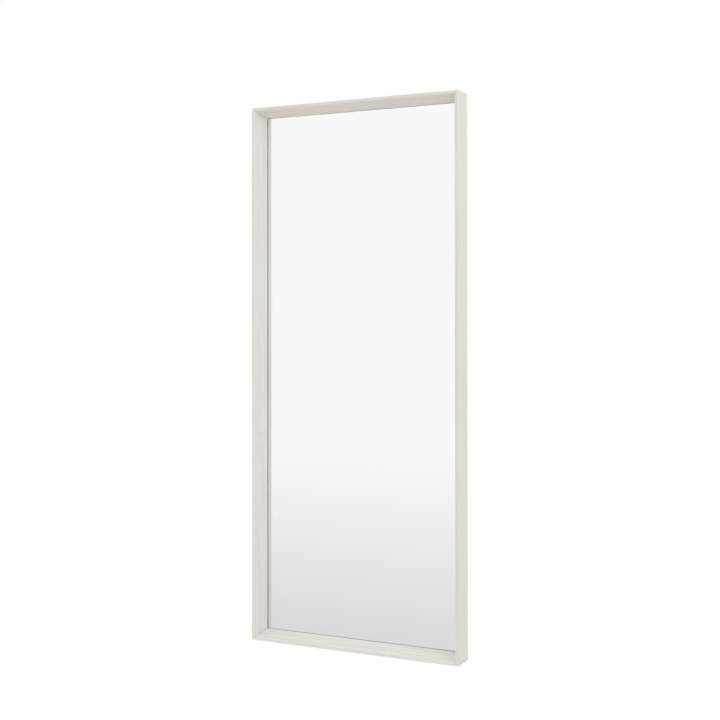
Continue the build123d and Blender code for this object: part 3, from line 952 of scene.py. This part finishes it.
# %% Make the studio's light
sky_level = 0.93
world = bpy.data.worlds.new("studio")
world.use_nodes = True
sky_tree = world.node_tree
sky_tree.nodes.clear()
from_camera, sent_on = looking_rays(sky_tree)
only_looks = calculate(sky_tree, "MAXIMUM", from_camera, sent_on)
strength = calculate(sky_tree, "MULTIPLY_ADD", only_looks, 1.0 - sky_level, sky_level)
sky = add_node(sky_tree, "ShaderNodeBackground", {"Color": (1, 1, 1, 1), "Strength": strength})
add_node(sky_tree, "ShaderNodeOutputWorld", {"Surface": sky.outputs["Background"]})
bpy.context.scene.world = world
bpy.context.scene.cycles.blur_glossy = 0.0
print("sky level", sky_level)

# %% [markdown]
# The floor is seen in two ways. Directly, it is white with a faint shadow round the mirror's foot. In the
# mirror it is a pale grey that grows lighter with distance and melts into the white behind it, as a studio
# floor does when the light comes from beyond the camera. That change depends only on the place on the floor.

# %% Make the floor
floor_size = 24.0
floor_mesh = bpy.data.meshes.new("studio_floor")
half_floor = floor_size / 2
corners = [(x * half_floor, y * half_floor, 0.0) for x, y in ((-1, -1), (1, -1), (1, 1), (-1, 1))]
floor_mesh.from_pydata(corners, [], [(0, 1, 2, 3)])
floor = bpy.data.objects.new("studio_floor", floor_mesh)
bpy.context.scene.collection.objects.link(floor)
print("floor", floor_size, "metres wide")

# %% Make the floor's paint
near_floor = 0.734
falloff_distance = 3.7
clear_distance = 5.6
bounce_paint = (0.92, 0.92, 0.92, 1)
shadow_paint = (0.28, 0.28, 0.28, 1)
floor_glow = 0.8
floor_paint = bpy.data.materials.new("pale_floor")
floor_paint.use_nodes = True
tree = floor_paint.node_tree
tree.nodes.clear()
from_camera, sent_on = looking_rays(tree)
ground = add_node(tree, "ShaderNodeTexCoord").outputs["Object"]
ground_y = add_node(tree, "ShaderNodeSeparateXYZ", {"Vector": ground}).outputs["Y"]
ahead = calculate(tree, "MAXIMUM", calculate(tree, "SUBTRACT", frame_front, ground_y), 0.0)
closeness = calculate(tree, "DIVIDE", falloff_distance, calculate(tree, "ADD", ahead, falloff_distance))
clear_closeness = falloff_distance / (falloff_distance + clear_distance)
dimming = calculate(tree, "SUBTRACT", closeness, clear_closeness)
dimming = calculate(tree, "DIVIDE", dimming, 1.0 - clear_closeness, clamp=True)
mirrored = calculate(tree, "MULTIPLY_ADD", dimming, near_floor - 1.0, 1.0)
in_mirror = add_node(tree, "ShaderNodeEmission", {"Strength": mirrored})
plain = add_node(tree, "ShaderNodeBsdfDiffuse", {"Color": bounce_paint})
shadow_catch = add_node(tree, "ShaderNodeBsdfDiffuse", {"Color": shadow_paint})
glow = add_node(tree, "ShaderNodeEmission", {"Strength": floor_glow})
direct = add_node(tree, "ShaderNodeAddShader", {0: shadow_catch.outputs[0], 1: glow.outputs[0]})
seen = add_node(tree, "ShaderNodeMixShader", {0: from_camera, 1: plain.outputs[0], 2: direct.outputs[0]})
whole = add_node(tree, "ShaderNodeMixShader", {0: sent_on, 1: seen.outputs[0], 2: in_mirror.outputs[0]})
add_node(tree, "ShaderNodeOutputMaterial", {"Surface": whole.outputs[0]})
floor_mesh.materials.append(floor_paint)
print("floor clear from", clear_distance, "metres ahead")

# %% [markdown]
# ## Lamp
#
# One large soft lamp hangs far off on the right, high and somewhat in front. It adds most light to the
# frame's right side and to its left inner face, which look towards it, and about half as much to the lips.
# Its strength is given as a level, the share of full light that it brings to a face that looks at it, and
# is turned into watts by the distance. It doesn't show in the mirror.

# %% Hang the lamp
def hang_soft_lamp(name, place, aim, size, light_level):
    """A square lamp of a size in metres, which brings a level of light to what it aims at."""
    place = Vector(place)
    aim = Vector(aim)
    data = bpy.data.lights.new(name, "AREA")
    data.shape = "SQUARE"
    data.size = size
    data.energy = light_level * math.pi ** 2 * (aim - place).length_squared
    lamp = bpy.data.objects.new(name, data)
    lamp.location = place
    lamp.rotation_euler = (aim - place).to_track_quat("-Z", "Y").to_euler()
    lamp.visible_glossy = False
    lamp.visible_transmission = False
    lamp.visible_camera = False
    bpy.context.scene.collection.objects.link(lamp)
    print(name, round(data.energy, 1), "watts")


frame_centre = (0.0, 0.0, frame_middle_height)
hang_soft_lamp("soft_key", (7.0, -3.3, 4.2), frame_centre, size=4.0, light_level=0.14)

# %% [markdown]
# ## Camera
#
# The camera stands to the right of the mirror and a little over a metre up, and looks level. It is shifted
# down rather than tilted, so that the stiles stay upright in the picture, as in product photographs.
# Its place and lens were found by fitting the edges of the frame to those in the photo.

# %% Set up the camera
photo_pixels = 720
focal_pixels = 1236.7
horizon_pixels = 314.7
sensor_width = 36.0
camera_place = (1.8452, -3.6996, 1.0866)
heading_degrees = 26.348
lift_degrees = 90.433
roll_degrees = -0.041
camera_data = bpy.data.cameras.new("photo_camera")
camera_data.sensor_width = sensor_width
camera_data.lens = focal_pixels / photo_pixels * sensor_width
camera_data.shift_y = (horizon_pixels - photo_pixels / 2) / photo_pixels
camera = bpy.data.objects.new("photo_camera", camera_data)
heading = Matrix.Rotation(math.radians(heading_degrees), 4, "Z")
lift = Matrix.Rotation(math.radians(lift_degrees), 4, "X")
roll = Matrix.Rotation(math.radians(roll_degrees), 4, "Z")
camera.matrix_world = Matrix.Translation(camera_place) @ heading @ lift @ roll
bpy.context.scene.collection.objects.link(camera)
bpy.context.scene.camera = camera
bpy.context.scene.view_settings.view_transform = "Standard"
print("lens", round(camera_data.lens, 2), "mm, shift", round(camera_data.shift_y, 4))
